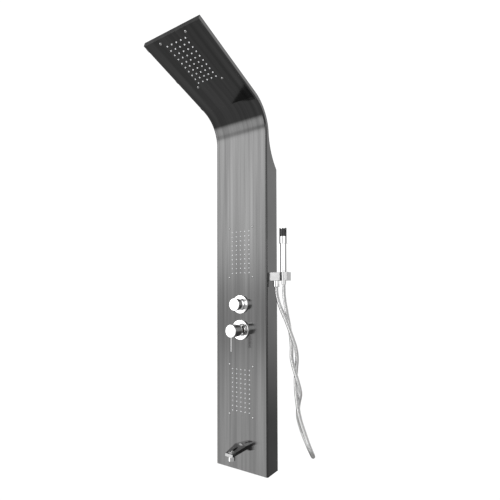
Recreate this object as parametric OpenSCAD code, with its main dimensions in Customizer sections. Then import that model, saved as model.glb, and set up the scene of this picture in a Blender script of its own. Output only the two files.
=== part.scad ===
// Rainfall shower column: a bent stainless channel that hangs on a wall, with a
// leaning overhead arm, three groups of spray nozzles, a tilting mixer, a diverter,
// a tub spout and a stick handset on a hose.
// Places on the column are given as [v, up, across]: v is the distance behind the
// front face (in front of it when negative), up is vertical and across is +X.

/* [Column] */
// Width of the column
column_w = 200; // [190:1:260]
// Depth from the front face to the wall
column_depth = 63; // [60:1:90]
// Thickness of the stainless sheet
sheet_t = 1.2; // [0.8:0.1:1.6]
// Outer radius of the front corners
corner_r = 5; // [3:0.5:8]
// How far the shoulder, where the side flanges begin to narrow, lies below the bend
shoulder_drop = 98; // [75:1:120]
// Height where the front face begins to bend
bend_h = 1074; // [1060:1:1290]
// Radius of the bend at the front face
bend_r = 97; // [90:1:120]
// Lean of the arm from upright, in degrees
arm_lean = 71.8; // [60:0.1:78]
// Length of the straight arm
arm_len = 270; // [255:1:340]
// Depth of the arm
arm_depth = 15; // [15:0.5:20]
// Radius of the sweep from the shoulder to the arm
sweep_r = 170; // [150:1:220]

/* [Wall fixing] */
// Height of the middle of the fixing pattern, where the origin lies
fix_h = 500; // [480:1:520]
// Height between the upper and the lower wall bracket
fix_spacing = 740; // [720:1:760]
// Distance between the two screws of a bracket
fix_screw_spacing = 120; // [80:1:140]
// Radius of a wall screw hole
fix_hole_r = 3; // [2:0.1:4]
// Height of a wall bracket
bracket_h = 30; // [26:1:40]
// Length of a wall bracket
bracket_len = 160; // [150:1:180]

/* [Spray plates] */
// Height of the upper body spray
upper_spray_h = 705; // [700:1:720]
// Height of the lower body spray
lower_spray_h = 256; // [240:1:262]
// Distance from the arm's tip to the middle of the overhead spray
overhead_from_tip = 94; // [94:1:110]
// Columns of nozzles
nozzle_cols = 5; // [3:1:5]
// Rows of nozzles
nozzle_rows = 10; // [4:1:10]
// Distance between nozzle columns
col_pitch = 16.6; // [10:0.1:17]
// Distance between nozzle rows
row_pitch = 15; // [8:0.1:15]
// Radius of a nozzle
nozzle_r = 2; // [1.2:0.1:2.4]
// How far a nozzle stands out of the front face
nozzle_out = 1.6; // [0.5:0.1:4]
// Width of a spray tray
tray_w = 104; // [100:1:120]
// Length of a spray tray
tray_len = 176; // [172:1:180]
// Depth of a spray tray
tray_depth = 8.5; // [8:0.5:9]
// Thickness of the silicone nozzle mat
mat_t = 1.5; // [1:0.1:1.6]

/* [Mixer] */
// Height of the mixer's axis
mixer_h = 452; // [445:1:455]
// Radius of the mixer's cover plate
mixer_plate_r = 33; // [30:0.5:40]
// Radius of the mixer handle
handle_r = 20.5; // [18:0.5:22]
// How far the handle stands out of the front face
handle_out = 57; // [50:1:70]
// Length of the lever pin below the handle
lever_len = 44; // [30:1:60]
// Radius of the lever pin
lever_r = 2.25; // [2:0.25:4]
// Radius of the ceramic cartridge
cartridge_r = 17.5; // [15:0.5:18]

/* [Diverter] */
// Height of the diverter's axis
diverter_h = 535; // [532:1:538]
// Radius of the diverter's cover plate
diverter_plate_r = 30.5; // [28:0.5:36]
// Radius of the diverter knob
knob_r = 20; // [17:0.5:24]
// How far the knob stands out of the front face
knob_out = 38; // [34:1:48]

/* [Handset] */
// Height of the holder's middle
holder_h = 623; // [620:1:630]
// Distance of the holder's middle behind the front face
holder_v = 24; // [22:0.5:30]
// Side of the square holder bar
holder_side = 26; // [24:1:30]
// Length of the holder bar outside the column
holder_len = 65; // [62:1:80]
// Distance of the handset's axis from the column's side
handset_off = 47; // [44:1:50]
// Distance of the water outlet from the column's side
outlet_off = 21; // [16:1:22]
// Radius of the handset's tube
handset_r = 11.25; // [10:0.25:13]
// Length of the handset's tube
handset_len = 84; // [70:1:120]
// Radius of the handset's head
head_r = 13.5; // [12.5:0.5:18]
// Length of the handset's head
head_len = 48; // [40:1:70]
// Diameter of the shower hose
hose_d = 12; // [9:0.5:12]

/* [Spout] */
// Height of the spout
spout_h = 76; // [70:1:78]
// How far the spout stands out of the front face
spout_out = 66; // [60:1:90]
// Width of the spout where it meets the column
spout_base_w = 43; // [36:1:60]
// Width of the spout's tip
spout_tip_w = 28; // [26:1:40]
// How far the spout's tip drops
spout_drop = 8; // [4:1:10]

/* [Hidden] */
$fn = 64;

margin = 5;                 // how far a cutting shape runs past what it cuts
fit_gap = 0.05;             // radial clearance of a running fit
free_gap = 0.35;            // clearance between pieces that pass each other
inner_w = column_w - 2*sheet_t;
bend_z = bend_h - fix_h;
shoulder_h = bend_h - shoulder_drop;
arm_inner = arm_depth - 1;  // the arm's cover lies this far behind the front face
cover_t = 1;
seam = 0.02;                // the arm's sheet runs into the bend this far inside its faces
overhead_s = arm_len - overhead_from_tip;

// The sweep is an arc through the shoulder, tangent to the back of the bend
shoulder = [column_depth, shoulder_h];
bend_c = [-bend_r, bend_h];
back_r = bend_r + arm_depth;
centre_gap = sweep_r + back_r;
shoulder_gap = norm(shoulder - bend_c);
neck_a = atan2(shoulder[1] - bend_c[1], shoulder[0] - bend_c[0])
    + acos((centre_gap*centre_gap + shoulder_gap*shoulder_gap - sweep_r*sweep_r)
        / (2*centre_gap*shoulder_gap));
sweep_c = bend_c + centre_gap*[cos(neck_a), sin(neck_a)];
shoulder_a = atan2(shoulder[1] - sweep_c[1], shoulder[0] - sweep_c[0]) + 360;

// Spray plates
screw_across = 2.75*col_pitch;
screw_up = 5.4*row_pitch;
plate_screw_r = 1.9;
nozzle_hole_r = nozzle_r + 0.4;
tray_v = sheet_t + mat_t;
barb_v = sheet_t + 5.9;     // depth of a tray's hose barb
barb_r = 3.2;
ferrule_r = 5.7;
ferrule_len = 14;
inner_hose_d = 10;

// Mixer and diverter
chamber_v = 4;
chamber_back = 46;
bore_back = 42;
neck_out = 5;               // a valve's neck stands this far out of the front face
mixer_chamber_r = cartridge_r + 6.5;
mixer_neck_r = cartridge_r + 3;
mixer_nut_r = cartridge_r + 7.5;
nut_out = 7;                // front of the cover nuts
plate_out = 6;              // front of the cover plates
rotor_r = 10.5;
rotor_v = 10;
pivot_v = -1;               // the lever tilts about an axis this far behind the front
stem_side = 8;
stem_out = 40;
lever_out = handle_out - 5;
diverter_r = 15;
diverter_chamber_r = 21;
diverter_neck_r = 17.5;
spindle_r = 5;
port_angles = [150, 90, 20, -40, 220];
port_boss_r = 27;           // the ports' bosses end at this radius
port_end_r = port_boss_r + ferrule_len;
port_v = 26;
inlet_across = 56;
inlet_v = 32;
inlet_r = 10.4;
inlet_len = 39;

// Handset and holder
holder_top = holder_side/2;
handset_x = column_w/2 + handset_off;
outlet_x = column_w/2 + outlet_off;
tail_r = 10.2;
tail_in = 24;
elbow_r = 13;
elbow_len = 18;
nut_drop = 19;              // the outlet nut hangs this far below the holder bar
cone_low = -25;             // lower end of the handset's nut
cone_low_r = 7.7;
cone_high_r = 9.2;
collar_t = 5;
spigot_r = 8;

// Spout
spout_t = 12;
spout_tip_t = 9;
spout_tail = 20;
aerator_v = -(spout_out - 14);
aerator_r = 11.5;

// The shower hose hangs from the outlet, twists round itself, turns and comes back
hose_route = [[121, 24, 591], [122, 24, 570], [130, 22, 543], [144, 18, 514],
    [161, 13, 485], [178, 12, 447], [190, 16, 409], [192, 22, 375], [189, 23, 342],
    [188, 20, 307], [193, 13, 272], [202, 5, 235], [215, -4, 200], [235, -17, 168],
    [252, -26, 140], [259, -16, 111], [246, 10, 98], [221, 36, 109], [199, 47, 138],
    [192, 40, 168], [191, 28, 200], [197, 20, 235], [206, 15, 272], [201, 9, 307],
    [189, 9, 342], [179, 12, 375], [176, 18, 409], [168, 26, 447], [161, 27, 485],
    [154, 26, 520], [149, 24, 553], [147, 24, 578], [147, 24, 597.6]];

// ---- Places and frames ----

function on_wall(h, v, across) = [across, v - column_depth, h - fix_h];
function on_bend(a, v) = [0, -column_depth - bend_r + (bend_r + v)*cos(a),
    bend_z + (bend_r + v)*sin(a)];
function on_arm(s, v) = on_bend(arm_lean, v) + s*[0, -sin(arm_lean), cos(arm_lean)];

// Local axes on the wall part of the column: X is v, Y is up and Z is across
module wall_frame(h) {
    translate([0, -column_depth, h - fix_h]) rotate([90, 0, 90]) children();
}

module bend_frame(a) {
    translate([0, -column_depth - bend_r, bend_z]) rotate([90, 0, 90]) rotate([0, 0, a])
        children();
}

// The same axes on the arm, s along it from the end of the bend
module arm_frame(s) {
    bend_frame(arm_lean) translate([bend_r, s, 0]) children();
}

// A round bar along v
module rod(v0, v1, r, up = 0, across = 0) {
    translate([v0, up, across]) rotate([0, 90, 0]) cylinder(h = v1 - v0, r = r);
}

// A hexagonal bar along v
module hex_rod(v0, v1, r) {
    translate([v0, 0, 0]) rotate([0, 90, 0]) cylinder(h = v1 - v0, r = r, $fn = 6);
}

// A round bar along up
module post(up0, up1, r, v = 0, across = 0) {
    translate([v, up0, across]) rotate([-90, 0, 0]) cylinder(h = up1 - up0, r = r);
}

module ring_sector(c, r0, r1, a0, a1) {
    translate(c) intersection() {
        difference() {
            circle(r1, $fn = 180);
            circle(r0, $fn = 180);
        }
        polygon([[0, 0], 4*r1*[cos(a0), sin(a0)], 4*r1*[cos(a1), sin(a1)]]);
    }
}

// ---- Round tubes swept along a route ----

function spline_at(p, i, t) =
    let (n = len(p) - 1, a = p[max(i - 1, 0)], b = p[i], c = p[min(i + 1, n)],
        d = p[min(i + 2, n)])
    0.5*(2*b + (c - a)*t + (2*a - 5*b + 4*c - d)*t*t + (3*b - a - 3*c + d)*t*t*t);
function smooth(p, steps) = concat([for (i = [0:len(p) - 2], k = [0:steps - 1])
    spline_at(p, i, k/steps)], [p[len(p) - 1]]);
function unit(a) = a/norm(a);
function tangent(p, i) = i == 0 ? unit(p[1] - p[0])
    : i == len(p) - 1 ? unit(p[i] - p[i - 1]) : unit(p[i + 1] - p[i - 1]);

module tube(route, d, steps = 2, sides = 10, side_axis = [1, 0, 0]) {
    p = smooth(route, steps);
    n = len(p);
    rings = [for (i = [0:n - 1])
        let (t = tangent(p, i), a = unit(cross(t, side_axis)), b = cross(t, a))
        for (k = [0:sides - 1]) p[i] + d/2*(cos(360*k/sides)*a + sin(360*k/sides)*b)];
    walls = [for (i = [0:n - 2], k = [0:sides - 1]) let (m = (k + 1) % sides)
        [i*sides + k, (i + 1)*sides + k, (i + 1)*sides + m, i*sides + m]];
    start = [[for (k = [0:sides - 1]) k]];
    end = [[for (k = [sides - 1:-1:0]) (n - 1)*sides + k]];
    polyhedron(rings, concat(walls, start, end), convexity = 6);
}

// ---- Column ----

// Outline of the channel's cross-section: X is v, Y is across
module section_outline(depth, w, r) {
    translate([r, -w/2]) square([depth - r, w]);
    translate([0, r - w/2]) square([2*r, w - 2*r]);
    for (side = [-1, 1]) translate([r, side*(w/2 - r)]) circle(r);
}

module channel_section(depth, inset = 0) {
    difference() {
        translate([inset, 0]) section_outline(depth, column_w - 2*inset, corner_r);
        translate([sheet_t - inset, 0])
            section_outline(depth + margin, inner_w + 2*inset, corner_r - sheet_t);
    }
}

// Side view of the column, drawn past the front so that it only trims the flanges
// behind
module side_outline() {
    translate([-margin, -margin]) square([column_depth + 2*margin, shoulder_h + margin]);
    difference() {
        polygon([[-margin, shoulder_h - 1], [column_depth, shoulder_h - 1], sweep_c,
            bend_c]);
        translate(sweep_c) circle(sweep_r, $fn = 180);
    }
    ring_sector(bend_c, bend_r - margin, back_r, neck_a - 1, arm_lean + 1);
    translate(bend_c) rotate(arm_lean) translate([bend_r - margin, 0])
        square([arm_depth + margin, arm_len + margin]);
}

module for_plate_screws() {
    for (a = [-1, 1], b = [-1, 1]) translate([0, b*screw_up, a*screw_across]) children();
}

module for_nozzles() {
    for (i = [0:nozzle_cols - 1], j = [0:nozzle_rows - 1])
        translate([0, (j - (nozzle_rows - 1)/2)*row_pitch,
            (i - (nozzle_cols - 1)/2)*col_pitch]) children();
}

module at_spray_plates() {
    arm_frame(overhead_s) children();
    wall_frame(upper_spray_h) children();
    wall_frame(lower_spray_h) children();
}

lug_side = 10;
cover_w = inner_w - 2*free_gap;
lug_places = [15, arm_len/2, arm_len - 15];
module for_lugs() {
    for (s = lug_places, side = [-1, 1])
        arm_frame(s) translate([0, 0, side*(inner_w - lug_side)/2]) children();
}

module front_panel() color("dimgray") difference() {
    union() {
        intersection() {
            union() {
                wall_frame(0) rotate([-90, 0, 0]) linear_extrude(bend_h)
                    channel_section(column_depth);
                bend_frame(0) rotate_extrude(angle = arm_lean, $fn = 180)
                    translate([bend_r, 0]) channel_section(column_depth);
                arm_frame(-1) rotate([-90, 0, 0]) linear_extrude(arm_len)
                    channel_section(column_depth, seam);
                arm_frame(arm_len - sheet_t) rotate([-90, 0, 0])
                    linear_extrude(sheet_t)
                        section_outline(column_depth, column_w, corner_r);
            }
            wall_frame(0) linear_extrude(2*column_w, center = true) side_outline();
        }
        for_lugs() translate([sheet_t - 0.2, -lug_side/2, -lug_side/2 - 0.2])
            cube([arm_inner - cover_t - sheet_t + 0.2, lug_side, lug_side + 0.4]);
    }
    at_spray_plates() {
        for_nozzles() rod(-margin, margin, nozzle_hole_r);
        for_plate_screws() rod(-margin, margin, plate_screw_r + 0.2);
    }
    for_lugs() rod(arm_inner - 9, arm_depth, 1.5);
    wall_frame(mixer_h) rod(-margin, margin, mixer_neck_r + 0.5);
    wall_frame(diverter_h) rod(-margin, margin, diverter_neck_r + 0.5);
    wall_frame(spout_h) rod(-margin, margin, tail_r + 0.3);
    wall_frame(holder_h) translate([holder_v, 0, column_w/2 - margin])
        cylinder(h = 2*margin, r = tail_r + 0.3);
}

// The cover closes the back of the arm, the bend and the sweep. Each run starts a
// little inside the bend and is thinner by a seam, so that no faces lie in each other
module arm_cover() color("darkslategray") difference() {
    union() {
        wall_frame(0) linear_extrude(cover_w, center = true)
            ring_sector(bend_c, bend_r + arm_inner - cover_t, bend_r + arm_inner,
                neck_a, arm_lean);
        wall_frame(0) linear_extrude(cover_w - 2*seam, center = true)
            ring_sector(sweep_c, sweep_r + 1 + seam, sweep_r + 1 + cover_t - seam,
                180 + neck_a - 0.4, shoulder_a);
        arm_frame(-1) translate([arm_inner - cover_t + seam, 0, seam - cover_w/2])
            cube([cover_t - 2*seam, arm_len + 1 - sheet_t - free_gap,
                cover_w - 2*seam]);
    }
    for_lugs() rod(arm_inner - margin, arm_inner + margin, 1.7);
}

module cover_screws() color("silver") for_lugs() {
    rod(arm_inner, arm_depth, 3);
    rod(arm_inner - 9, arm_inner, 1.5);
}

// ---- Wall fixing ----

bar_v = column_depth - 9;
module cross_bar(h) wall_frame(h) {
    translate([0, 0, -inner_w/2]) linear_extrude(inner_w) polygon([
        [bar_v - 1.5, -bracket_h/2], [bar_v, -bracket_h/2], [bar_v, bracket_h/2 - 1.5],
        [bar_v + 5.5, bracket_h/2 - 1.5], [bar_v + 5.5, bracket_h/2 - 9],
        [bar_v + 7, bracket_h/2 - 9], [bar_v + 7, bracket_h/2],
        [bar_v - 1.5, bracket_h/2]]);
}

module wall_bracket(h) wall_frame(h) difference() {
    translate([0, 0, -bracket_len/2]) linear_extrude(bracket_len) polygon([
        [bar_v + 2, bracket_h/2 - 3], [bar_v + 2, bracket_h/2 - 14],
        [column_depth - 1.5, bracket_h/2 - 14], [column_depth - 1.5, -bracket_h/2],
        [column_depth, -bracket_h/2], [column_depth, bracket_h/2 - 12.5],
        [bar_v + 3.5, bracket_h/2 - 12.5], [bar_v + 3.5, bracket_h/2 - 3]]);
    for (side = [-1, 1]) rod(column_depth - margin, column_depth + margin, fix_hole_r,
        0, side*fix_screw_spacing/2);
}

upper_fix_h = fix_h + fix_spacing/2;
lower_fix_h = fix_h - fix_spacing/2;
module upper_cross_bar() color("gray") cross_bar(upper_fix_h);
module lower_cross_bar() color("gray") cross_bar(lower_fix_h);
module upper_wall_bracket() color("lightgray") wall_bracket(upper_fix_h);
module lower_wall_bracket() color("lightgray") wall_bracket(lower_fix_h);

// ---- Spray plates ----

// A tray that holds water behind the nozzles; its barb points towards end
module spray_tray(end) {
    difference() {
        union() {
            translate([tray_v, -tray_len/2, -tray_w/2])
                cube([tray_depth, tray_len, tray_w]);
            scale([1, end, 1])
                post(tray_len/2 - 1, tray_len/2 + ferrule_len, barb_r, barb_v);
        }
        translate([tray_v - 1, -tray_len/2 + 15, -tray_w/2 + 14])
            cube([tray_depth - 1, tray_len - 30, tray_w - 28]);
        scale([1, end, 1])
            post(tray_len/2 - 16, tray_len/2 + ferrule_len + 1, barb_r - 1, barb_v);
        for_plate_screws() rod(0, tray_v + tray_depth - 1, plate_screw_r);
    }
}

module nozzle_mat() {
    difference() {
        union() {
            translate([sheet_t, -tray_len/2, -tray_w/2])
                cube([mat_t, tray_len, tray_w]);
            for_nozzles() rod(-nozzle_out, sheet_t + 0.5, nozzle_r);
        }
        for_plate_screws() rod(0, margin, plate_screw_r + 0.2);
        for_nozzles() rod(-margin, margin, 0.6);
    }
}

module overhead_tray() color("whitesmoke") arm_frame(overhead_s) spray_tray(-1);
module upper_spray_tray() color("whitesmoke") wall_frame(upper_spray_h) spray_tray(1);
module lower_spray_tray() color("whitesmoke") wall_frame(lower_spray_h) spray_tray(-1);
module overhead_nozzles() color("gainsboro") arm_frame(overhead_s) nozzle_mat();
module upper_nozzles() color("gainsboro") wall_frame(upper_spray_h) nozzle_mat();
module lower_nozzles() color("gainsboro") wall_frame(lower_spray_h) nozzle_mat();

// Domed screws that clamp the trays behind the sheet
module domed_screw() {
    rod(0, tray_v + tray_depth - 2, plate_screw_r);
    intersection() {
        translate([2.6, 0, 0]) sphere(4.6);
        rod(-margin, 0, margin);
    }
}

module spray_screws() color("silver") at_spray_plates() for_plate_screws()
    domed_screw();

// ---- Valve ----

module valve_chamber(r, neck_r, up) {
    rod(chamber_v, chamber_back, r, up);
    rod(-neck_out, chamber_v + 1, neck_r, up);
}

module at_ports() {
    translate([port_v, diverter_h - mixer_h, 0])
        for (a = port_angles) rotate([-a, 0, 0]) children();
}

module valve_body() color("goldenrod") wall_frame(mixer_h) {
    link = diverter_h - mixer_h;
    difference() {
        union() {
            valve_chamber(mixer_chamber_r, mixer_neck_r, 0);
            valve_chamber(diverter_chamber_r, diverter_neck_r, link);
            post(mixer_chamber_r - 4, link - diverter_chamber_r + 4, 12, 28);
            translate([inlet_v, 0, -inlet_across])
                cylinder(h = 2*inlet_across, r = inlet_r - 0.6);
            for (side = [-1, 1]) {
                translate([inlet_v, 0, side*inlet_across]) sphere(inlet_r + 1);
                post(-inlet_len, 0, inlet_r, inlet_v, side*inlet_across);
                translate([inlet_v, -18, side*inlet_across]) rotate([-90, 0, 0])
                    cylinder(h = 7, r = 14, $fn = 6);
            }
            at_ports() {
                cylinder(h = port_boss_r, r = 6.5);
                cylinder(h = port_end_r, r = barb_r);
            }
        }
        rod(-neck_out - 1, bore_back, cartridge_r);
        rod(-neck_out - 1, bore_back, diverter_r, link);
        post(0, link, 6, 28);
        translate([inlet_v, 0, -inlet_across]) cylinder(h = 2*inlet_across, r = 6.5);
        for (side = [-1, 1])
            post(-inlet_len - 1, 0, 6.6, inlet_v, side*inlet_across);
        at_ports() cylinder(h = port_end_r + 1, r = barb_r - 1);
    }
}

module gasket(r0, r1) {
    difference() {
        rod(sheet_t, chamber_v, r1);
        rod(0, margin, r0);
    }
}

module valve_gaskets() color("black") {
    wall_frame(mixer_h) gasket(mixer_neck_r + 0.1, mixer_chamber_r);
    wall_frame(diverter_h) gasket(diverter_neck_r + 0.1, diverter_chamber_r);
}

// A cartridge fills its chamber and guides a pilot at its front
module cartridge(r, front) {
    difference() {
        rod(front, bore_back, r - 0.02);
        rod(front - 1, front + 7, 6 + fit_gap);
    }
}

module mixer_cartridge() color("white") wall_frame(mixer_h)
    cartridge(cartridge_r, rotor_v);
module diverter_cartridge() color("white") wall_frame(diverter_h)
    cartridge(diverter_r, rotor_v);

// A cover nut screws over the neck; its lip reaches in over the moving piece
module cover_nut(outer_r, neck_r, lip_r) {
    difference() {
        rod(-nut_out, -0.2, outer_r);
        rod(-neck_out, margin, neck_r + 0.02);
        rod(-margin - nut_out, 0, lip_r);
    }
}

module cartridge_nut() color("silver") wall_frame(mixer_h)
    cover_nut(mixer_nut_r, mixer_neck_r, rotor_r + 1);
module diverter_nut() color("silver") wall_frame(diverter_h)
    cover_nut(diverter_neck_r + 4, diverter_neck_r, spindle_r + 3.5);

// A cover plate: a shallow cup with a softened rim round the nut
module cover_plate(r, hole_r) {
    rotate([0, -90, 0]) rotate_extrude($fn = 96) difference() {
        union() {
            translate([hole_r, 0]) square([r - 2.5 - hole_r, plate_out]);
            square([r, plate_out - 2.5]);
            translate([r - 2.5, plate_out - 2.5]) circle(2.5, $fn = 32);
        }
        translate([-1, -1]) square([hole_r + 1, plate_out + 2]);
        translate([hole_r + 1.5, -1]) square([r - hole_r - 3.5, plate_out - 0.6]);
    }
}

module mixer_plate() color("silver") wall_frame(mixer_h)
    cover_plate(mixer_plate_r, mixer_nut_r + 0.2);
module diverter_plate() color("silver") wall_frame(diverter_h)
    cover_plate(diverter_plate_r, diverter_neck_r + 4.2);

// The rotor turns in the cartridge and carries the lever's cross pin
module cartridge_rotor() color("dimgray") wall_frame(mixer_h) difference() {
    union() {
        rod(-neck_out + 0.2, rotor_v, rotor_r);
        rod(rotor_v, rotor_v + 6, 6);
    }
    translate([-margin - 1, -margin, -stem_side/2 - 0.2])
        translate([0, -rotor_r, 0])
            cube([margin + 7, 2*(rotor_r + margin), stem_side + 0.4]);
    translate([pivot_v, 0, -rotor_r - 1]) cylinder(h = 2*rotor_r + 2, r = 1.5);
}

module stem_pin() color("silver") wall_frame(mixer_h)
    translate([pivot_v, 0, -rotor_r + 0.6]) cylinder(h = 2*rotor_r - 1.2, r = 1.5);

module mixer_stem() color("goldenrod") wall_frame(mixer_h) difference() {
    intersection() {
        translate([-stem_out, -stem_side/2, -stem_side/2])
            cube([stem_out + pivot_v + 4.5, stem_side, stem_side]);
        union() {
            translate([pivot_v, 0, -stem_side]) cylinder(h = 2*stem_side, r = 5);
            translate([-stem_out - 1, -stem_side, -stem_side])
                cube([stem_out + 1 + pivot_v, 2*stem_side, 2*stem_side]);
        }
    }
    translate([pivot_v, 0, -stem_side]) cylinder(h = 2*stem_side, r = 1.5 + fit_gap);
}

// Profile of a hollow knob: X is the radius, Y the distance out of the front face
module knob_profile(r, back, front, back_r, hub_r) {
    difference() {
        union() {
            polygon([[0, back], [back_r, back], [r, back + r - back_r], [r, front - 2],
                [r - 2, front], [0, front]]);
            translate([r - 2, front - 2]) circle(2, $fn = 32);
        }
        translate([hub_r, back + 8]) square([r - 3 - hub_r, front - back - 12]);
    }
}

module knob_body(r, back, front, back_r, hub_r) {
    rotate([0, -90, 0]) rotate_extrude($fn = 96)
        knob_profile(r, back, front, back_r, hub_r);
}

handle_back = 14;
handle_back_r = 14;
hub_r = 9.5;
grub_out = 30;              // the grub screws lie this far out
grub_r = 2;
module mixer_handle() color("silver") wall_frame(mixer_h) difference() {
    knob_body(handle_r, handle_back, handle_out, handle_back_r, hub_r);
    translate([-stem_out - 1, -stem_side/2, -stem_side/2])
        cube([stem_out, stem_side, stem_side]);
    post(-handle_r - 1, 0, grub_r, -grub_out);
    post(-handle_r - 1, -handle_r + 5, lever_r, -lever_out);
}

module mixer_lever() color("silver") wall_frame(mixer_h)
    post(-handle_r - lever_len, -handle_r + 5, lever_r, -lever_out);

module handle_screw() color("dimgray") wall_frame(mixer_h)
    post(-hub_r + 0.5, -stem_side/2, grub_r, -grub_out);

module diverter_spindle() color("goldenrod") wall_frame(diverter_h) {
    rod(rotor_v, rotor_v + 6, 6);
    rod(rotor_v - 3, rotor_v, 8);
    rod(-knob_out + 7, rotor_v - 3, spindle_r);
}

knob_back = 9;
knob_grub_out = 20;
module diverter_knob() color("silver") wall_frame(diverter_h) difference() {
    knob_body(knob_r, knob_back, knob_out, knob_r - 2, hub_r - 1);
    rod(-knob_out + 6.8, 0, spindle_r);
    post(-knob_r - 1, 0, grub_r, -knob_grub_out);
}

module knob_screw() color("dimgray") wall_frame(diverter_h)
    post(-hub_r + 1.5, -spindle_r, grub_r, -knob_grub_out);

// ---- Holder and handset ----

function cone_r(up) = cone_low_r
    + (cone_high_r - cone_low_r)*(up - cone_low)/(holder_top - cone_low);

module holder_bar() color("silver") wall_frame(holder_h) difference() {
    union() {
        translate([holder_v - holder_side/2, -holder_top, column_w/2])
            cube([holder_side, holder_side, holder_len]);
        translate([holder_v, 0, column_w/2 - tail_in]) cylinder(h = tail_in + 1, r = tail_r);
        post(-holder_top - 10, -holder_top + 1, spigot_r, holder_v, outlet_x);
    }
    translate([holder_v, 0, column_w/2 - tail_in - 1])
        cylinder(h = tail_in + outlet_off + 1, r = 4.5);
    post(-holder_top - 11, 0, 4.5, holder_v, outlet_x);
    translate([holder_v, -holder_top, handset_x]) rotate([-90, 0, 0]) cylinder(
        h = holder_side, r1 = cone_r(-holder_top) + free_gap,
        r2 = cone_r(holder_top) + free_gap);
    translate([holder_v - holder_side, -holder_side, handset_x - 7.5])
        cube([holder_side, 2*holder_side, 15]);
}

module holder_nut() color("silver") wall_frame(holder_h)
    translate([holder_v, 0, inner_w/2 - 7]) difference() {
        cylinder(h = 7, r = 16, $fn = 6);
        translate([0, 0, -1]) cylinder(h = 9, r = tail_r);
    }

// An elbow on a threaded tail: its axis is Z with the tail coming in from above,
// and its barb points along -Y
module hose_elbow() {
    difference() {
        union() {
            translate([0, 0, -elbow_len + 4]) cylinder(h = elbow_len, r = elbow_r);
            translate([0, 0, -6]) rotate([90, 0, 0]) cylinder(h = 15, r = 6.5);
            translate([0, 0, -6]) rotate([90, 0, 0])
                cylinder(h = 15 + ferrule_len, r = barb_r);
        }
        cylinder(h = 5, r = tail_r);
        translate([0, 0, -11]) cylinder(h = 12, r = 5);
        translate([0, 0, -6]) rotate([90, 0, 0])
            cylinder(h = 16 + ferrule_len, r = barb_r - 1);
    }
}

module at_holder_elbow() {
    wall_frame(holder_h) translate([holder_v, 0, column_w/2 - tail_in]) children();
}

module at_spout_elbow() {
    wall_frame(spout_h) translate([spout_tail, 0, 0]) rotate([0, -90, 0])
        rotate([0, 0, 90]) children();
}

module holder_elbow() color("goldenrod") at_holder_elbow() hose_elbow();
module spout_elbow() color("goldenrod") at_spout_elbow() hose_elbow();

module outlet_nut() color("silver") wall_frame(holder_h) difference() {
    post(-holder_top - nut_drop, -holder_top, 11.5, holder_v, outlet_x);
    post(-holder_top - 12, margin, spigot_r, holder_v, outlet_x);
    post(-holder_side - nut_drop, 0, 4.5, holder_v, outlet_x);
}

module hose_washer() color("black") wall_frame(holder_h) difference() {
    post(-holder_top - 12, -holder_top - 10, spigot_r - 0.1, holder_v, outlet_x);
    post(-holder_side - nut_drop, 0, 4.5, holder_v, outlet_x);
}

module at_handset() {
    wall_frame(holder_h) translate([holder_v, 0, handset_x]) rotate([-90, 0, 0])
        children();
}

// The conical nut on the hose's end drops into the holder; its collar rests on top
module handset_nut() color("silver") at_handset() difference() {
    union() {
        translate([0, 0, cone_low])
            cylinder(h = holder_top - cone_low, r1 = cone_low_r, r2 = cone_high_r);
        translate([0, 0, holder_top]) cylinder(h = collar_t, r = handset_r);
        translate([0, 0, holder_top]) cylinder(h = collar_t + 9, r = spigot_r - fit_gap);
    }
    translate([0, 0, cone_low + 3]) cylinder(h = 80, r = 4.5);
}

tube_low = holder_top + collar_t;
head_low = tube_low + handset_len;
head_top = head_low + head_len;
face_len = head_len/2;
face_v = -5;                // the spray face begins this far in front of the axis

module handset_tube() color("silver") at_handset() difference() {
    translate([0, 0, tube_low]) cylinder(h = handset_len, r = handset_r);
    translate([0, 0, tube_low - 1]) cylinder(h = handset_len + 2, r = spigot_r);
}

module face_cut(gap) {
    translate([-head_r - margin, -head_r - margin, head_top - 2 - face_len - gap])
        cube([head_r + margin + face_v + gap, 2*(head_r + margin), face_len + 2*gap]);
}

module handset_head() color("silver") at_handset() difference() {
    translate([0, 0, head_low]) cylinder(h = head_len, r = head_r);
    translate([0, 0, head_low + 3]) cylinder(h = head_len - 5, r = head_r - 1.8);
    translate([0, 0, head_low - 1]) cylinder(h = margin, r = spigot_r);
    face_cut(0);
}

module spray_face() color("black") at_handset() {
    intersection() {
        translate([0, 0, head_top - 2 - face_len]) cylinder(h = face_len, r = head_r - 0.2);
        face_cut(0);
    }
    for (i = [-1, 0, 1], j = [0:4]) translate([-head_r + 2, i*4.2, head_top - 6 - j*4])
        rotate([0, -90, 0]) cylinder(h = 2.4 - abs(i)*0.7, r = 0.8);
}

module shower_hose() color("silver")
    tube([for (p = hose_route) on_wall(p[2], p[1], p[0])], hose_d);

// ---- Hoses inside the column ----

function port_place(i, r) = on_wall(diverter_h + r*sin(port_angles[i]), port_v,
    r*cos(port_angles[i]));
function port_way(i) = [port_place(i, port_end_r), port_place(i, port_end_r + 10)];
side_run = inner_w/2 - 16;  // the side hoses run this far from the middle
tray_end = tray_len/2 + ferrule_len;
upper_end_h = upper_spray_h + tray_end;
lower_end_h = lower_spray_h - tray_end;
overhead_end_s = overhead_s - tray_end;

module upper_spray_hose() color("gray") tube(concat(port_way(0), [
    on_wall(diverter_h + 48, port_v, -side_run + 12),
    on_wall(diverter_h + 80, port_v - 2, -side_run),
    on_wall(upper_spray_h - 20, 22, -side_run),
    on_wall(upper_end_h - 20, 18, -side_run),
    on_wall(upper_end_h + 25, 13, -side_run + 8),
    on_wall(upper_end_h + 48, 10, -side_run/2 - 8),
    on_wall(upper_end_h + 46, 8, -side_run/4),
    on_wall(upper_end_h + 22, barb_v, 0),
    on_wall(upper_end_h, barb_v, 0)]), inner_hose_d, 2, 8, [0, 1, 0]);

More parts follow.
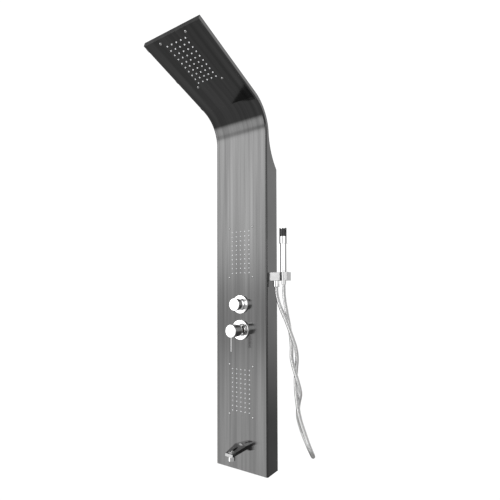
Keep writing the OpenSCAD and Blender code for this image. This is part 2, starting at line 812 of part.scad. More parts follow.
module overhead_hose() color("gray") tube(concat(port_way(1), [
    on_wall(diverter_h + port_end_r + 35, port_v, 1),
    on_wall(upper_spray_h, port_v, 6),
    on_wall(upper_end_h, port_v, 9),
    on_wall(shoulder_h - 60, port_v - 1, 4),
    on_wall(shoulder_h, port_v - 5, 2),
    on_wall((shoulder_h + bend_h)/2, barb_v + 6, 1),
    on_wall(bend_h - 12, barb_v + 0.4, 0)],
    [for (k = [0:6]) on_bend(arm_lean*k/6, barb_v)],
    [on_arm(overhead_end_s/2, barb_v), on_arm(overhead_end_s, barb_v)]),
    inner_hose_d, 2, 8);

elbow_barb = 15 + ferrule_len;
holder_barb_x = column_w/2 - tail_in - 6;
module holder_feed_hose() color("gray") tube(concat(port_way(2), [
    on_wall(diverter_h + 27, port_v - 1, holder_barb_x - 6),
    on_wall(holder_h - elbow_barb - 16, holder_v, holder_barb_x),
    on_wall(holder_h - elbow_barb, holder_v, holder_barb_x)]),
    inner_hose_d, 2, 8, [0, 1, 0]);

spout_barb_v = spout_tail + 6;
module spout_feed_hose() color("gray") tube(concat(port_way(3), [
    on_wall(mixer_h + 28, port_v, side_run - 12),
    on_wall(mixer_h, port_v, side_run),
    on_wall(lower_spray_h + 60, port_v, side_run),
    on_wall(lower_spray_h - 60, port_v, side_run),
    on_wall(spout_h + 48, port_v, side_run - 2),
    on_wall(spout_h + 14, spout_barb_v, side_run - 22),
    on_wall(spout_h, spout_barb_v, elbow_barb + 14),
    on_wall(spout_h, spout_barb_v, elbow_barb)]), inner_hose_d, 2, 8, [0, 1, 0]);

module lower_spray_hose() color("gray") tube(concat(port_way(4), [
    on_wall(mixer_h + 28, port_v, -side_run + 12),
    on_wall(mixer_h, port_v, -side_run),
    on_wall(lower_spray_h + 60, port_v, -side_run),
    on_wall(lower_spray_h - 40, 22, -side_run),
    on_wall(lower_end_h + 5, 16, -side_run + 1),
    on_wall(lower_end_h - 32, 11, -side_run + 14),
    on_wall(lower_end_h - 48, 8, -side_run/2),
    on_wall(lower_end_h - 42, barb_v, -side_run/5),
    on_wall(lower_end_h - 20, barb_v, 0),
    on_wall(lower_end_h, barb_v, 0)]), inner_hose_d, 2, 8, [0, 1, 0]);

module ferrule() {
    difference() {
        cylinder(h = ferrule_len, r = ferrule_r);
        translate([0, 0, -1]) cylinder(h = ferrule_len + 2, r = barb_r + 0.02);
    }
}

module hose_ferrules() color("silver") {
    wall_frame(mixer_h) at_ports() translate([0, 0, port_boss_r]) ferrule();
    arm_frame(overhead_s - tray_end) translate([barb_v, 0, 0]) rotate([-90, 0, 0])
        ferrule();
    wall_frame(upper_spray_h + tray_len/2) translate([barb_v, 0, 0])
        rotate([-90, 0, 0]) ferrule();
    wall_frame(lower_end_h) translate([barb_v, 0, 0]) rotate([-90, 0, 0]) ferrule();
    at_holder_elbow() translate([0, -15, -6]) rotate([90, 0, 0]) ferrule();
    at_spout_elbow() translate([0, -15, -6]) rotate([90, 0, 0]) ferrule();
}

// ---- Spout ----

module spout() color("dimgray") wall_frame(spout_h) difference() {
    union() {
        hull() {
            translate([-3, -spout_t/2, -spout_base_w/2])
                cube([3, spout_t, spout_base_w]);
            translate([-spout_out, spout_t/2 - spout_drop - spout_tip_t,
                -spout_tip_w/2]) cube([3, spout_tip_t, spout_tip_w]);
        }
        rod(-2, spout_tail, tail_r);
    }
    rod(aerator_v, spout_tail + 1, 4);
    post(-spout_h, 0, 9, aerator_v);
}

module spout_nut() color("silver") wall_frame(spout_h) difference() {
    hex_rod(sheet_t, sheet_t + 7, 16);
    rod(0, 2*margin, tail_r);
}

module aerator() color("silver") wall_frame(spout_h) difference() {
    union() {
        post(-spout_drop - spout_t - 6, -spout_drop - spout_t + 6.2, aerator_r,
            aerator_v);
        post(-spout_drop - spout_t, 0, 9, aerator_v);
    }
    post(-spout_h, 1, 7, aerator_v);
}

front_panel();
arm_cover();
cover_screws();
upper_cross_bar();
lower_cross_bar();
upper_wall_bracket();
lower_wall_bracket();
overhead_tray();
upper_spray_tray();
lower_spray_tray();
overhead_nozzles();
upper_nozzles();
lower_nozzles();
spray_screws();
valve_body();
valve_gaskets();
mixer_cartridge();
cartridge_nut();
mixer_plate();
cartridge_rotor();
stem_pin();
mixer_stem();
mixer_handle();
mixer_lever();
handle_screw();
diverter_cartridge();
diverter_nut();
diverter_plate();
diverter_spindle();
diverter_knob();
knob_screw();
holder_bar();
holder_nut();
holder_elbow();
outlet_nut();
hose_washer();
handset_nut();
handset_tube();
handset_head();
spray_face();
shower_hose();
overhead_hose();
upper_spray_hose();
lower_spray_hose();
holder_feed_hose();
spout_feed_hose();
hose_ferrules();
spout();
spout_nut();
spout_elbow();
aerator();
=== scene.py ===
import math

import bmesh
import bpy
import numpy as np
from mathutils import Matrix, Vector


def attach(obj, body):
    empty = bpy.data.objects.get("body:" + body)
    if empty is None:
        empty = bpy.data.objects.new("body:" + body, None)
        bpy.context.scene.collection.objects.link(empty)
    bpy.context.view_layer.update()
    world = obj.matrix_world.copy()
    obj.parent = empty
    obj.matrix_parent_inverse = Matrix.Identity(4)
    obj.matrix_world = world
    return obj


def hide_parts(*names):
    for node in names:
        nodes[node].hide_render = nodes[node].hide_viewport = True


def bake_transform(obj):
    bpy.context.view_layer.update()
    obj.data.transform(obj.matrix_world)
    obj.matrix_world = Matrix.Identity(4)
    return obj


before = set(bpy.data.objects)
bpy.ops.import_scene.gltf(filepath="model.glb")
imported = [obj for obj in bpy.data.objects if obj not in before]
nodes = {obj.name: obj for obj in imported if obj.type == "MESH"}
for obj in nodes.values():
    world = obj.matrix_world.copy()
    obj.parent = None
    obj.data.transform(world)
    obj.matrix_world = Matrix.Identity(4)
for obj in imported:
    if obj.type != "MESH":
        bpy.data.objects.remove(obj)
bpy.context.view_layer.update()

# Places on the column in metres: across, behind the front face, up from the bottom edge
column = {
    "depth": 0.063,
    "originUp": 0.5,
    "bendUp": 1.074,
    "bendRadius": 0.097,
    "armLean": 71.8,
    "armLength": 0.27,
}


def onWall(across, behind, up):
    return Vector((across, behind - column["depth"], up - column["originUp"]))


def wallPlace(up):  # local X across, local Y up, local Z out of the front face
    return Matrix.Translation(onWall(0, 0, up)) @ Matrix.Rotation(math.radians(90), 4, "X")


def armPlace(along):
    lean = math.radians(column["armLean"])
    start = Vector((
        0,
        -column["depth"] - column["bendRadius"] * (1 - math.cos(lean)),
        column["bendUp"] - column["originUp"] + column["bendRadius"] * math.sin(lean),
    ))
    place = start + along * Vector((0, -math.sin(lean), math.cos(lean)))
    return Matrix.Translation(place) @ Matrix.Rotation(math.radians(90) + lean, 4, "X")


view = {
    "place": (0.7353, -1.1134, 0.0661),
    "yaw": -33.637,
    "pitch": 1.426,
    "roll": -0.167,
    "lens": 28.27,
    "shiftY": 0.07,
}


def makeCamera():
    yaw, pitch, roll = (math.radians(view[k]) for k in ("yaw", "pitch", "roll"))
    ahead = Vector((math.sin(yaw) * math.cos(pitch), math.cos(yaw) * math.cos(pitch), math.sin(pitch)))
    level = Vector((math.cos(yaw), -math.sin(yaw), 0))
    upward = level.cross(ahead)
    right = level * math.cos(roll) + upward * math.sin(roll)
    upward = upward * math.cos(roll) - level * math.sin(roll)
    data = bpy.data.cameras.new("viewCamera")
    data.lens, data.sensor_width, data.shift_y = view["lens"], 36, view["shiftY"]
    camera = bpy.data.objects.new("viewCamera", data)
    bpy.context.scene.collection.objects.link(camera)
    turn = Matrix((right, upward, -ahead)).transposed().to_4x4()
    camera.matrix_world = Matrix.Translation(Vector(view["place"])) @ turn
    bpy.context.scene.camera = camera


makeCamera()
print("camera placed")


def newMaterial(name):
    material = bpy.data.materials.new(name)
    material.use_nodes = True
    tree = material.node_tree
    shader = tree.nodes["Principled BSDF"]
    return material, tree, shader


def placeOf(tree, scale=(1, 1, 1), turn=(0, 0, 0), shift=(0, 0, 0)):
    coords = tree.nodes.new("ShaderNodeTexCoord")
    mapping = tree.nodes.new("ShaderNodeMapping")
    mapping.inputs["Scale"].default_value = scale
    mapping.inputs["Rotation"].default_value = turn
    mapping.inputs["Location"].default_value = shift
    tree.links.new(coords.outputs["Object"], mapping.inputs["Vector"])
    return mapping.outputs["Vector"]


def noise(tree, scale, detail=3.0, rough=0.55, shift=(0, 0, 0)):
    made = tree.nodes.new("ShaderNodeTexNoise")
    made.inputs["Scale"].default_value = 1.0
    made.inputs["Detail"].default_value = detail
    made.inputs["Roughness"].default_value = rough
    tree.links.new(placeOf(tree, scale, shift=shift), made.inputs["Vector"])
    return made.outputs[0]


def between(tree, value, low, high, start=0.25, stop=0.75):
    made = tree.nodes.new("ShaderNodeMapRange")
    made.inputs["From Min"].default_value = start
    made.inputs["From Max"].default_value = stop
    made.inputs["To Min"].default_value = low
    made.inputs["To Max"].default_value = high
    tree.links.new(value, made.inputs["Value"])
    return made.outputs["Result"]


def blendColours(tree, factor, first, second):
    made = tree.nodes.new("ShaderNodeMix")
    made.data_type = "RGBA"
    for slot, value in ((0, factor), (6, first), (7, second)):
        if isinstance(value, bpy.types.NodeSocket):
            tree.links.new(value, made.inputs[slot])
        else:
            made.inputs[slot].default_value = value if slot == 0 else (*value, 1)
    return made.outputs[2]


def grey(level, warm=0.0):
    return (level * (1 + warm), level, level * (1 - warm))


def bump(tree, shader, height, strength, distance):
    made = tree.nodes.new("ShaderNodeBump")
    made.inputs["Strength"].default_value = strength
    made.inputs["Distance"].default_value = distance
    tree.links.new(height, made.inputs["Height"])
    tree.links.new(made.outputs["Normal"], shader.inputs["Normal"])


brushedSteel = {
    "dark": 0.08,
    "light": 0.135,
    "streakWidth": 75,
    "streakLength": 1.6,
    "roughLow": 0.085,
    "roughHigh": 0.125,
    "anisotropy": 1.0,
    "grainDepth": 0.00002,
}


def makeBrushedSteel():
    p = brushedSteel
    material, tree, shader = newMaterial("brushedSteel")
    shader.inputs["Metallic"].default_value = 1
    width, length = p["streakWidth"], p["streakLength"]
    wide = noise(tree, (width, length, length), 3, 0.5)
    fine = noise(tree, (width * 14, length * 5, length * 5), 2, 0.6)
    streak = tree.nodes.new("ShaderNodeMath")
    streak.operation = "MULTIPLY_ADD"
    tree.links.new(fine, streak.inputs[0])
    streak.inputs[1].default_value = 0.35
    tree.links.new(wide, streak.inputs[2])
    factor = between(tree, streak.outputs[0], 0, 1, 0.45, 0.95)
    colour = blendColours(tree, factor, grey(p["dark"]), grey(p["light"]))
    tree.links.new(colour, shader.inputs["Base Color"])
    tree.links.new(between(tree, fine, p["roughLow"], p["roughHigh"]), shader.inputs["Roughness"])
    shader.inputs["Anisotropic"].default_value = p["anisotropy"]
    facing = tree.nodes.new("ShaderNodeNewGeometry")
    cross = tree.nodes.new("ShaderNodeVectorMath")
    cross.operation = "CROSS_PRODUCT"
    tree.links.new(facing.outputs["Normal"], cross.inputs[0])
    cross.inputs[1].default_value = (0, 0, 1)
    tree.links.new(cross.outputs["Vector"], shader.inputs["Tangent"])
    bump(tree, shader, noise(tree, (2400, 25, 25), 2), 0.35, p["grainDepth"])
    return material


def makeMetal(name, level, rough, warm=0.0, spread=0.08, grain=90, grainDepth=0.0):
    material, tree, shader = newMaterial(name)
    shader.inputs["Metallic"].default_value = 1
    mottle = noise(tree, (grain, grain, grain), 4)
    low, high = level * (1 - spread), min(1, level * (1 + spread))
    colour = blendColours(tree, mottle, grey(low, warm), grey(high, warm))
    tree.links.new(colour, shader.inputs["Base Color"])
    tree.links.new(between(tree, mottle, rough * 0.7, rough * 1.4), shader.inputs["Roughness"])
    if grainDepth:
        bump(tree, shader, noise(tree, (grain * 12,) * 3, 3), 0.4, grainDepth)
    return material


def makeMoulded(name, colour, rough, spread=0.06, grain=160, grainDepth=0.00003, specular=0.5):
    material, tree, shader = newMaterial(name)
    shader.inputs["Specular IOR Level"].default_value = specular
    mottle = noise(tree, (grain, grain, grain), 4)
    low = tuple(c * (1 - spread) for c in colour)
    high = tuple(min(1, c * (1 + spread)) for c in colour)
    tree.links.new(blendColours(tree, mottle, low, high), shader.inputs["Base Color"])
    tree.links.new(between(tree, mottle, rough * 0.85, min(1, rough * 1.15)), shader.inputs["Roughness"])
    bump(tree, shader, noise(tree, (grain * 8,) * 3, 2), 0.5, grainDepth)
    return material


def makeBraid(name, level, size, rough=0.35):
    material, tree, shader = newMaterial(name)
    shader.inputs["Metallic"].default_value = 1
    cells = tree.nodes.new("ShaderNodeTexVoronoi")
    cells.inputs["Scale"].default_value = size
    cells.inputs["Randomness"].default_value = 0.35
    tree.links.new(placeOf(tree, (1, 1, 0.6)), cells.inputs["Vector"])
    strand = between(tree, cells.outputs["Distance"], 1, 0, 0.1, 0.7)
    tree.links.new(blendColours(tree, strand, grey(level * 0.35), grey(level)), shader.inputs["Base Color"])
    shader.inputs["Roughness"].default_value = rough
    bump(tree, shader, strand, 0.9, 0.0006)
    return material


finishes = {
    "brushed": makeBrushedSteel(),
    "cover": makeMetal("coverSteel", 0.11, 0.34, spread=0.15, grain=60, grainDepth=0.00002),
    "steel": makeMetal("plainSteel", 0.52, 0.34, spread=0.12, grain=70, grainDepth=0.00003),
    "chrome": makeMetal("chromePlate", 0.95, 0.045, spread=0.02, grain=45),
    "satin": makeMetal("satinChrome", 0.36, 0.24, spread=0.04, grain=110),
    "spout": makeMetal("spoutSteel", 0.3, 0.16, spread=0.1, grain=90, grainDepth=0.00002),
    "screw": makeMetal("screwSteel", 0.62, 0.14, spread=0.06, grain=140),
    "brass": makeMetal("machinedBrass", 0.5, 0.28, warm=0.38, spread=0.1, grain=80, grainDepth=0.00003),
    "hose": makeMetal("hoseSteel", 0.72, 0.2, spread=0.1, grain=120),
    "braid": makeBraid("braidedSteel", 0.62, 620),
    "white": makeMoulded("whitePlastic", (0.78, 0.78, 0.76), 0.42),
    "silicone": makeMoulded("paleSilicone", (0.86, 0.87, 0.88), 0.5, grain=300, specular=0.4),
    "rubber": makeMoulded("blackRubber", (0.018, 0.018, 0.018), 0.62),
    "black": makeMoulded("blackPlastic", (0.012, 0.012, 0.013), 0.3),
}
print("finishes made:", len(finishes))


def addPiece(name, verts, faces, finish, smooth=40):
    mesh = bpy.data.meshes.new(name)
    mesh.from_pydata([tuple(v) for v in verts], [], faces)
    mesh.materials.append(finishes[finish])
    piece = bpy.data.objects.new(name, mesh)
    bpy.context.scene.collection.objects.link(piece)
    mesh.validate()
    if smooth:
        for face in mesh.polygons:
            face.use_smooth = True
        mesh.set_sharp_from_angle(angle=math.radians(smooth))
    return piece


def moveMesh(piece, place):
    piece.data.transform(place)
    piece.data.update()
    return piece


def lathe(profile, segments):  # from the middle of the bottom out, up and back to the middle
    verts, faces, rings = [], [], []
    for entry in profile:
        radius, up = entry[0], entry[1]
        hexed = len(entry) > 2 and entry[2] == "hex"
        if radius == 0:
            rings.append([len(verts)])
            verts.append((0, 0, up))
            continue
        ring = []
        for k in range(segments):
            a = 2 * math.pi * k / segments
            r = radius
            if hexed:
                r = radius * math.cos(math.pi / 6) / math.cos((a % (math.pi / 3)) - math.pi / 6)
            ring.append(len(verts))
            verts.append((r * math.cos(a), r * math.sin(a), up))
        rings.append(ring)
    for low, high in zip(rings, rings[1:]):
        for k in range(segments):
            m = (k + 1) % segments
            if len(low) == 1 and len(high) == 1:
                continue
            if len(low) == 1:
                faces.append((low[0], high[m], high[k]))
            elif len(high) == 1:
                faces.append((low[k], low[m], high[0]))
            else:
                faces.append((low[k], low[m], high[m], high[k]))
    return verts, faces


def shut(piece):
    form = bmesh.new()
    form.from_mesh(piece.data)
    bmesh.ops.remove_doubles(form, verts=form.verts, dist=1e-7)
    bmesh.ops.recalc_face_normals(form, faces=form.faces)
    form.to_mesh(piece.data)
    form.free()
    return piece


hose = {
    "diameter": 0.012,
    "ribPitch": 0.0034,
    "ribDepth": 0.0007,
    "sides": 14,
    "route": [  # across, behind the front face, up
        (0.121, 0.024, 0.591), (0.122, 0.024, 0.570), (0.130, 0.022, 0.543), (0.144, 0.018, 0.514),
        (0.161, 0.013, 0.485), (0.178, 0.012, 0.447), (0.190, 0.016, 0.409), (0.192, 0.022, 0.375),
        (0.189, 0.023, 0.342), (0.188, 0.020, 0.307), (0.193, 0.013, 0.272), (0.202, 0.005, 0.235),
        (0.215, -0.004, 0.200), (0.235, -0.017, 0.168), (0.252, -0.026, 0.140), (0.259, -0.016, 0.111),
        (0.246, 0.010, 0.098), (0.221, 0.036, 0.109), (0.199, 0.047, 0.138), (0.192, 0.040, 0.168),
        (0.191, 0.028, 0.200), (0.197, 0.020, 0.235), (0.206, 0.015, 0.272), (0.201, 0.009, 0.307),
        (0.189, 0.009, 0.342), (0.179, 0.012, 0.375), (0.176, 0.018, 0.409), (0.168, 0.026, 0.447),
        (0.161, 0.027, 0.485), (0.154, 0.026, 0.520), (0.149, 0.024, 0.553), (0.147, 0.024, 0.578),
        (0.147, 0.024, 0.5976)],
}


def smoothRoute(points, steps):
    p = [np.array(q, float) for q in points]
    last, out = len(p) - 1, []
    for i in range(last):
        a, b, c, d = p[max(i - 1, 0)], p[i], p[i + 1], p[min(i + 2, last)]
        for k in range(steps):
            t = k / steps
            out.append(0.5 * (2 * b + (c - a) * t + (2 * a - 5 * b + 4 * c - d) * t * t
                              + (3 * b - a - 3 * c + d) * t ** 3))
    return np.array(out + [p[last]])


def evenly(points, gap):
    steps = np.linalg.norm(np.diff(points, axis=0), axis=1)
    run = np.concatenate([[0], np.cumsum(steps)])
    count = max(2, round(run[-1] / gap))
    at = np.linspace(0, run[-1], count + 1)
    return np.array([[np.interp(s, run, points[:, k]) for k in range(3)] for s in at]), run[-1]


def ribbedTube(route, radiusAt, sides):
    ahead = np.gradient(route, axis=0)
    ahead /= np.linalg.norm(ahead, axis=1)[:, None]
    side = np.cross(ahead[0], (1, 0, 0))
    verts, faces = [], []
    for i, (point, along) in enumerate(zip(route, ahead)):
        side = side - along * side.dot(along)
        side = side / np.linalg.norm(side)
        other = np.cross(along, side)
        for k in range(sides):
            a = 2 * math.pi * k / sides
            verts.append(point + radiusAt(i) * (math.cos(a) * side + math.sin(a) * other))
    for i in range(len(route) - 1):
        for k in range(sides):
            m = (k + 1) % sides
            faces.append((i * sides + k, i * sides + m, (i + 1) * sides + m, (i + 1) * sides + k))
    faces.append(tuple(range(sides - 1, -1, -1)))
    faces.append(tuple((len(route) - 1) * sides + k for k in range(sides)))
    return verts, faces


def makeHose():
    points = smoothRoute([onWall(*p) for p in hose["route"]], 24)
    route, length = evenly(points, hose["ribPitch"] / 4)
    full, waist = hose["diameter"] / 2, hose["diameter"] / 2 - hose["ribDepth"]
    shape = (full, full, waist + 0.0003, waist)
    verts, faces = ribbedTube(route, lambda i: shape[i % 4], hose["sides"])
    piece = shut(addPiece("showerHose", verts, faces, "hose", smooth=70))
    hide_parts("shower_hose")
    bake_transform(piece)
    print("hose length %.3f m" % length)


makeHose()


def gridTree():
    tree = bpy.data.node_groups.new("plateGrid", "GeometryNodeTree")
    face = tree.interface
    face.new_socket("Geometry", in_out="INPUT", socket_type="NodeSocketGeometry")
    for name, kind in (("Columns", "NodeSocketInt"), ("Rows", "NodeSocketInt"), ("Width", "NodeSocketFloat"),
                       ("Height", "NodeSocketFloat"), ("Finish", "NodeSocketMaterial")):
        face.new_socket(name, in_out="INPUT", socket_type=kind)
    face.new_socket("Geometry", in_out="OUTPUT", socket_type="NodeSocketGeometry")
    given, out = tree.nodes.new("NodeGroupInput"), tree.nodes.new("NodeGroupOutput")
    grid = tree.nodes.new("GeometryNodeMeshGrid")
    for socket, name in (("Vertices X", "Columns"), ("Vertices Y", "Rows"),
                         ("Size X", "Width"), ("Size Y", "Height")):
        tree.links.new(given.outputs[name], grid.inputs[socket])
    copies = tree.nodes.new("GeometryNodeInstanceOnPoints")
    tree.links.new(grid.outputs["Mesh"], copies.inputs["Points"])
    tree.links.new(given.outputs["Geometry"], copies.inputs["Instance"])
    real = tree.nodes.new("GeometryNodeRealizeInstances")
    tree.links.new(copies.outputs["Instances"], real.inputs["Geometry"])
    paint = tree.nodes.new("GeometryNodeSetMaterial")
    tree.links.new(real.outputs["Geometry"], paint.inputs["Geometry"])
    tree.links.new(given.outputs["Finish"], paint.inputs["Material"])
    tree.links.new(paint.outputs["Geometry"], out.inputs["Geometry"])
    return tree


plateGrid = gridTree()


def runTree(piece, tree, **given):
    modifier = piece.modifiers.new("pattern", "NODES")
    modifier.node_group = tree
    for item in tree.interface.items_tree:
        if item.in_out == "INPUT" and item.name in given:
            modifier[item.identifier] = given[item.name]
    bpy.context.view_layer.update()
    graph = bpy.context.evaluated_depsgraph_get()
    mesh = bpy.data.meshes.new_from_object(piece.evaluated_get(graph))
    piece.modifiers.remove(modifier)
    piece.data = mesh
    return piece


def joinPieces(name, parts):
    form = bmesh.new()
    finishesUsed = []
    for part in parts:
        before = len(form.faces)
        form.from_mesh(part.data)
        form.faces.ensure_lookup_table()
        for face in form.faces[before:]:
            finish = part.data.materials[face.material_index]
            if finish not in finishesUsed:
                finishesUsed.append(finish)
            face.material_index = finishesUsed.index(finish)
    mesh = bpy.data.meshes.new(name)
    form.to_mesh(mesh)
    form.free()
    for finish in finishesUsed:
        mesh.materials.append(finish)
    for part in parts:
        bpy.data.objects.remove(part)
    piece = bpy.data.objects.new(name, mesh)
    bpy.context.scene.collection.objects.link(piece)
    return piece


spray = {
    "columns": 5,
    "rows": 10,
    "acrossPitch": 0.0166,
    "upPitch": 0.015,
    "overheadAlong": 0.176,
    "upperUp": 0.705,
    "lowerUp": 0.256,
    "sheet": 0.0012,
    "matThickness": 0.0015,
    "matWidth": 0.104,
    "matLength": 0.176,
    "matCorner": 0.004,
    "screwsAcross": 5.5,  # in pitches
    "screwsUp": 10.8,
    "nozzleSides": 12,
    "screwSides": 24,
}
# outline of a nozzle from its root to the bottom of its bore: radius and height
nozzleOutline = [(0, -0.0016), (0.0021, -0.0016), (0.00195, 0.0003), (0.0017, 0.0013), (0.0013, 0.0016),
                 (0.00085, 0.0014), (0.0007, 0.0003), (0, 0.0003)]


def roundedPlate(width, length, low, high, radius, steps=5):
    outline = []
    for cx, cy, start in ((1, 1, 0), (-1, 1, 90), (-1, -1, 180), (1, -1, 270)):
        for k in range(steps + 1):
            a = math.radians(start + 90 * k / steps)
            outline.append((cx * (width / 2 - radius) + radius * math.cos(a),
                            cy * (length / 2 - radius) + radius * math.sin(a)))
    n = len(outline)
    verts = [(x, y, low) for x, y in outline] + [(x, y, high) for x, y in outline]
    faces = [(k, (k + 1) % n, n + (k + 1) % n, n + k) for k in range(n)]
    return verts, faces + [tuple(range(n - 1, -1, -1)), tuple(range(n, 2 * n))]


def makeSprays():
    width = spray["acrossPitch"] * (spray["columns"] - 1)
    length = spray["upPitch"] * (spray["rows"] - 1)
    plates = (("overheadSpray", "overhead_nozzles", armPlace(spray["overheadAlong"])),
              ("upperSpray", "upper_nozzles", wallPlace(spray["upperUp"])),
              ("lowerSpray", "lower_nozzles", wallPlace(spray["lowerUp"])))
    screws = []
    for name, cadNode, place in plates:
        nozzles = addPiece(name + "Nozzles", *lathe(nozzleOutline, spray["nozzleSides"]), "silicone")
        runTree(nozzles, plateGrid, Columns=spray["columns"], Rows=spray["rows"],
                Width=width, Height=length, Finish=finishes["silicone"])
        plate = roundedPlate(spray["matWidth"], spray["matLength"], -spray["sheet"] - spray["matThickness"],
                             -spray["sheet"], spray["matCorner"])
        mat = addPiece(name + "Mat", *plate, "silicone")
        piece = joinPieces(name, [nozzles, mat])
        moveMesh(piece, place)
        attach(piece, "column")
        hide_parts(cadNode)
        four = addPiece(name + "Screws", *lathe(screwOutline, spray["screwSides"]), "screw")
        runTree(four, plateGrid, Columns=2, Rows=2, Width=spray["screwsAcross"] * spray["acrossPitch"],
                Height=spray["screwsUp"] * spray["upPitch"], Finish=finishes["screw"])
        screws.append(moveMesh(four, place))
    piece = joinPieces("sprayScrews", screws)
    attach(piece, "column")
    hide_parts("spray_screws")
    print("spray plates and screws made")


# a domed screw with a hexagonal socket
screwOutline = [(0, -0.0092), (0.0019, -0.0092), (0.0019, 0.00002), (0.0038, 0.00002), (0.0037, 0.0004),
                (0.0031, 0.0012), (0.0022, 0.00175), (0.0014, 0.00195, "hex"), (0.0013, 0.0009, "hex"),
                (0, 0.0008)]
makeSprays()


# Edges that get a small round: how wide, and how sharp an edge has to be
rounds = {
    "holder_bar": (0.0007, 50),
    "spout": (0.0011, 35),
    "outlet_nut": (0.0008, 60),
    "handset_nut": (0.0006, 60),
    "handset_tube": (0.0004, 60),
    "handset_head": (0.0007, 60),
    "aerator": (0.0006, 60),
    "mixer_lever": (0.0008, 60),
}
panelRound = 0.0013


def mergedCopy(name):
    form = bmesh.new()
    form.from_mesh(nodes[name].data)
    bmesh.ops.remove_doubles(form, verts=form.verts, dist=2e-6)
    bmesh.ops.dissolve_limit(form, angle_limit=math.radians(0.6), verts=form.verts, edges=form.edges)
    return form


def roundEdges(form, name, chosen, width):
    bmesh.ops.bevel(form, geom=chosen, offset=width, offset_type="OFFSET", segments=3, profile=0.5,
                    affect="EDGES", clamp_overlap=True)
    mesh = bpy.data.meshes.new(name)
    for face in form.faces:
        face.smooth = True
    form.to_mesh(mesh)
    form.free()
    mesh.set_sharp_from_angle(angle=math.radians(35))
    piece = bpy.data.objects.new(name, mesh)
    bpy.context.scene.collection.objects.link(piece)
    level = piece.modifiers.new("faces", "WEIGHTED_NORMAL")  # the wide faces stay flat beside a round
    level.keep_sharp = True
    bpy.context.view_layer.update()
    graph = bpy.context.evaluated_depsgraph_get()
    flat = bpy.data.meshes.new_from_object(piece.evaluated_get(graph))
    piece.modifiers.remove(level)
    piece.data = flat
    return piece


def roundedCopy(name, width, sharp):
    form = mergedCopy(name)
    limit = math.radians(sharp)
    chosen = [e for e in form.edges
              if len(e.link_faces) == 2 and e.is_convex and e.calc_face_angle(0) > limit]
    return roundEdges(form, name + "Rounded", chosen, width)


def outwards(place):  # the direction that the front sheet faces at this height
    if place.z < column["bendUp"] - column["originUp"]:
        return Vector((0, -1, 0))
    turn = math.atan2(place.z - column["bendUp"] + column["originUp"],
                      place.y + column["depth"] + column["bendRadius"])
    turn = min(turn, math.radians(column["armLean"]))
    return Vector((0, -math.cos(turn), -math.sin(turn)))


def foldedPanel(width):
    form = mergedCopy("front_panel")
    chosen = []
    for e in form.edges:
        if len(e.link_faces) != 2 or not e.is_convex or e.calc_face_angle(0) < 1:
            continue
        middle = (e.verts[0].co + e.verts[1].co) / 2
        along = (e.verts[1].co - e.verts[0].co).normalized()
        facing = outwards(middle)
        fronts = [f for f in e.link_faces if f.normal.dot(facing) > 0.95]
        sides = [f for f in e.link_faces if abs(f.normal.x) > 0.99]
        corner = len(fronts) == 1 and len(sides) == 1 and abs(abs(middle.x) - 0.1) < 2e-4
        tip = len(fronts) == 1 and abs(along.x) > 0.99 and middle.z > 0.6 and middle.y < -0.35
        if corner or tip:
            chosen.append(e)
    print("folded edges:", len(chosen))
    return roundEdges(form, "foldedPanel", chosen, width)


bodyOf = {
    "holder_bar": "column", "spout": "column", "outlet_nut": "column", "aerator": "column",
    "handset_nut": "hose_end", "handset_tube": "handset", "handset_head": "handset",
    "mixer_lever": "mixer_handle",
}

slotFinish = {
    "dark_steel": "brushed",
    "cover_steel": "cover",
    "plain_steel": "steel",
    "chrome": "chrome",
    "brass": "brass",
    "plastic_white": "white",
    "silicone": "silicone",
    "rubber_black": "rubber",
    "plastic_black": "black",
    "hose_metal": "hose",
    "hose_braid": "braid",
}
nodeFinish = {"holder_bar": "satin", "spout": "spout"}
for name, shape in nodes.items():
    for slot in shape.material_slots:
        slotName = slot.material.name.split(".")[0] if slot.material else "plain_steel"
        slot.material = finishes[nodeFinish.get(name, slotFinish.get(slotName, "steel"))]
print("finishes on", len(nodes), "nodes")


def standIn(piece, name, body):
    piece.data.materials.clear()
    piece.data.materials.append(nodes[name].material_slots[0].material)
    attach(piece, body)
    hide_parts(name)


for name, (width, sharp) in rounds.items():
    standIn(roundedCopy(name, width, sharp), name, bodyOf[name])
standIn(foldedPanel(panelRound), "front_panel", "column")
print("edges rounded on", len(rounds) + 1, "nodes")


room = {
    "floorUp": -0.95,
    "floorSize": 60,
    "floorGrey": 0.97,
}


def makeFloor():
    half = room["floorSize"] / 2
    verts = [(-half, -half, room["floorUp"]), (half, -half, room["floorUp"]),
             (half, half, room["floorUp"]), (-half, half, room["floorUp"])]
    material, tree, shader = newMaterial("paleFloor")
    shader.inputs["Roughness"].default_value = 0.9
    shader.inputs["Specular IOR Level"].default_value = 0.1
    mottle = noise(tree, (3, 3, 3), 3)
    level = room["floorGrey"]
    colour = blendColours(tree, mottle, grey(level), grey(min(1, level + 0.02)))
    tree.links.new(colour, shader.inputs["Base Color"])
    finishes["floor"] = material
    floor = addPiece("floor", verts, [(0, 1, 2, 3)], "floor", smooth=0)
    floor.visible_glossy = False  # the metal mirrors the studio, not the floor


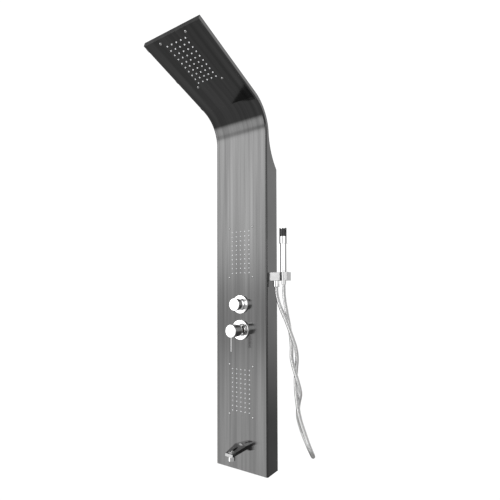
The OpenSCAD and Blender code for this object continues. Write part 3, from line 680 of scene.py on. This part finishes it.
# A dim surround with large round soft lights in it. Bearings and heights are in degrees, a
# bearing of 0 is straight out of the front face and 90 is to the right, and reach is how
# far a light's soft edge extends from its middle.
studio = {
    "surround": 0.35,
    "openSky": 1.07,
    "lights": [
        {"bearing": -35, "up": 18, "reach": 26, "level": 3.0},
        {"bearing": -35, "up": -18, "reach": 20, "level": 2.0},
        {"bearing": 35, "up": 15, "reach": 30, "level": 1.5},
        {"bearing": -130, "up": 20, "reach": 45, "level": 1.5},
        {"bearing": 150, "up": 20, "reach": 40, "level": 1.0},
    ],
}


def makeStudio():
    world = bpy.data.worlds.new("studio")
    bpy.context.scene.world = world
    world.use_nodes = True
    tree = world.node_tree
    back = tree.nodes["Background"]
    coords = tree.nodes.new("ShaderNodeTexCoord")

    def vectorMaths(kind, first, second):
        made = tree.nodes.new("ShaderNodeVectorMath")
        made.operation = kind
        tree.links.new(first, made.inputs[0])
        made.inputs[1].default_value = second
        return made.outputs["Value"]

    total = None
    for light in studio["lights"]:
        turn, up = math.radians(light["bearing"]), math.radians(light["up"])
        middle = (math.sin(turn) * math.cos(up), -math.cos(turn) * math.cos(up), math.sin(up))
        soft = tree.nodes.new("ShaderNodeMapRange")
        soft.interpolation_type = "SMOOTHSTEP"
        soft.inputs["From Min"].default_value = math.cos(math.radians(light["reach"]))
        soft.inputs["To Max"].default_value = light["level"]
        facing = vectorMaths("DOT_PRODUCT", coords.outputs["Generated"], middle)
        tree.links.new(facing, soft.inputs["Value"])
        added = tree.nodes.new("ShaderNodeMath")
        tree.links.new(soft.outputs["Result"], added.inputs[0])
        added.inputs[1].default_value = studio["surround"]
        if total:
            tree.links.new(total, added.inputs[1])
        total = added.outputs[0]
    ray = tree.nodes.new("ShaderNodeLightPath")
    made = tree.nodes.new("ShaderNodeMix")
    tree.links.new(ray.outputs["Is Glossy Ray"], made.inputs[0])
    made.inputs[2].default_value = studio["openSky"]
    tree.links.new(total, made.inputs[3])
    tree.links.new(made.outputs[0], back.inputs["Color"])
    world.cycles.sampling_method = "NONE"
    bpy.context.scene.view_settings.view_transform = "Standard"


makeFloor()
makeStudio()
print("floor and studio made")
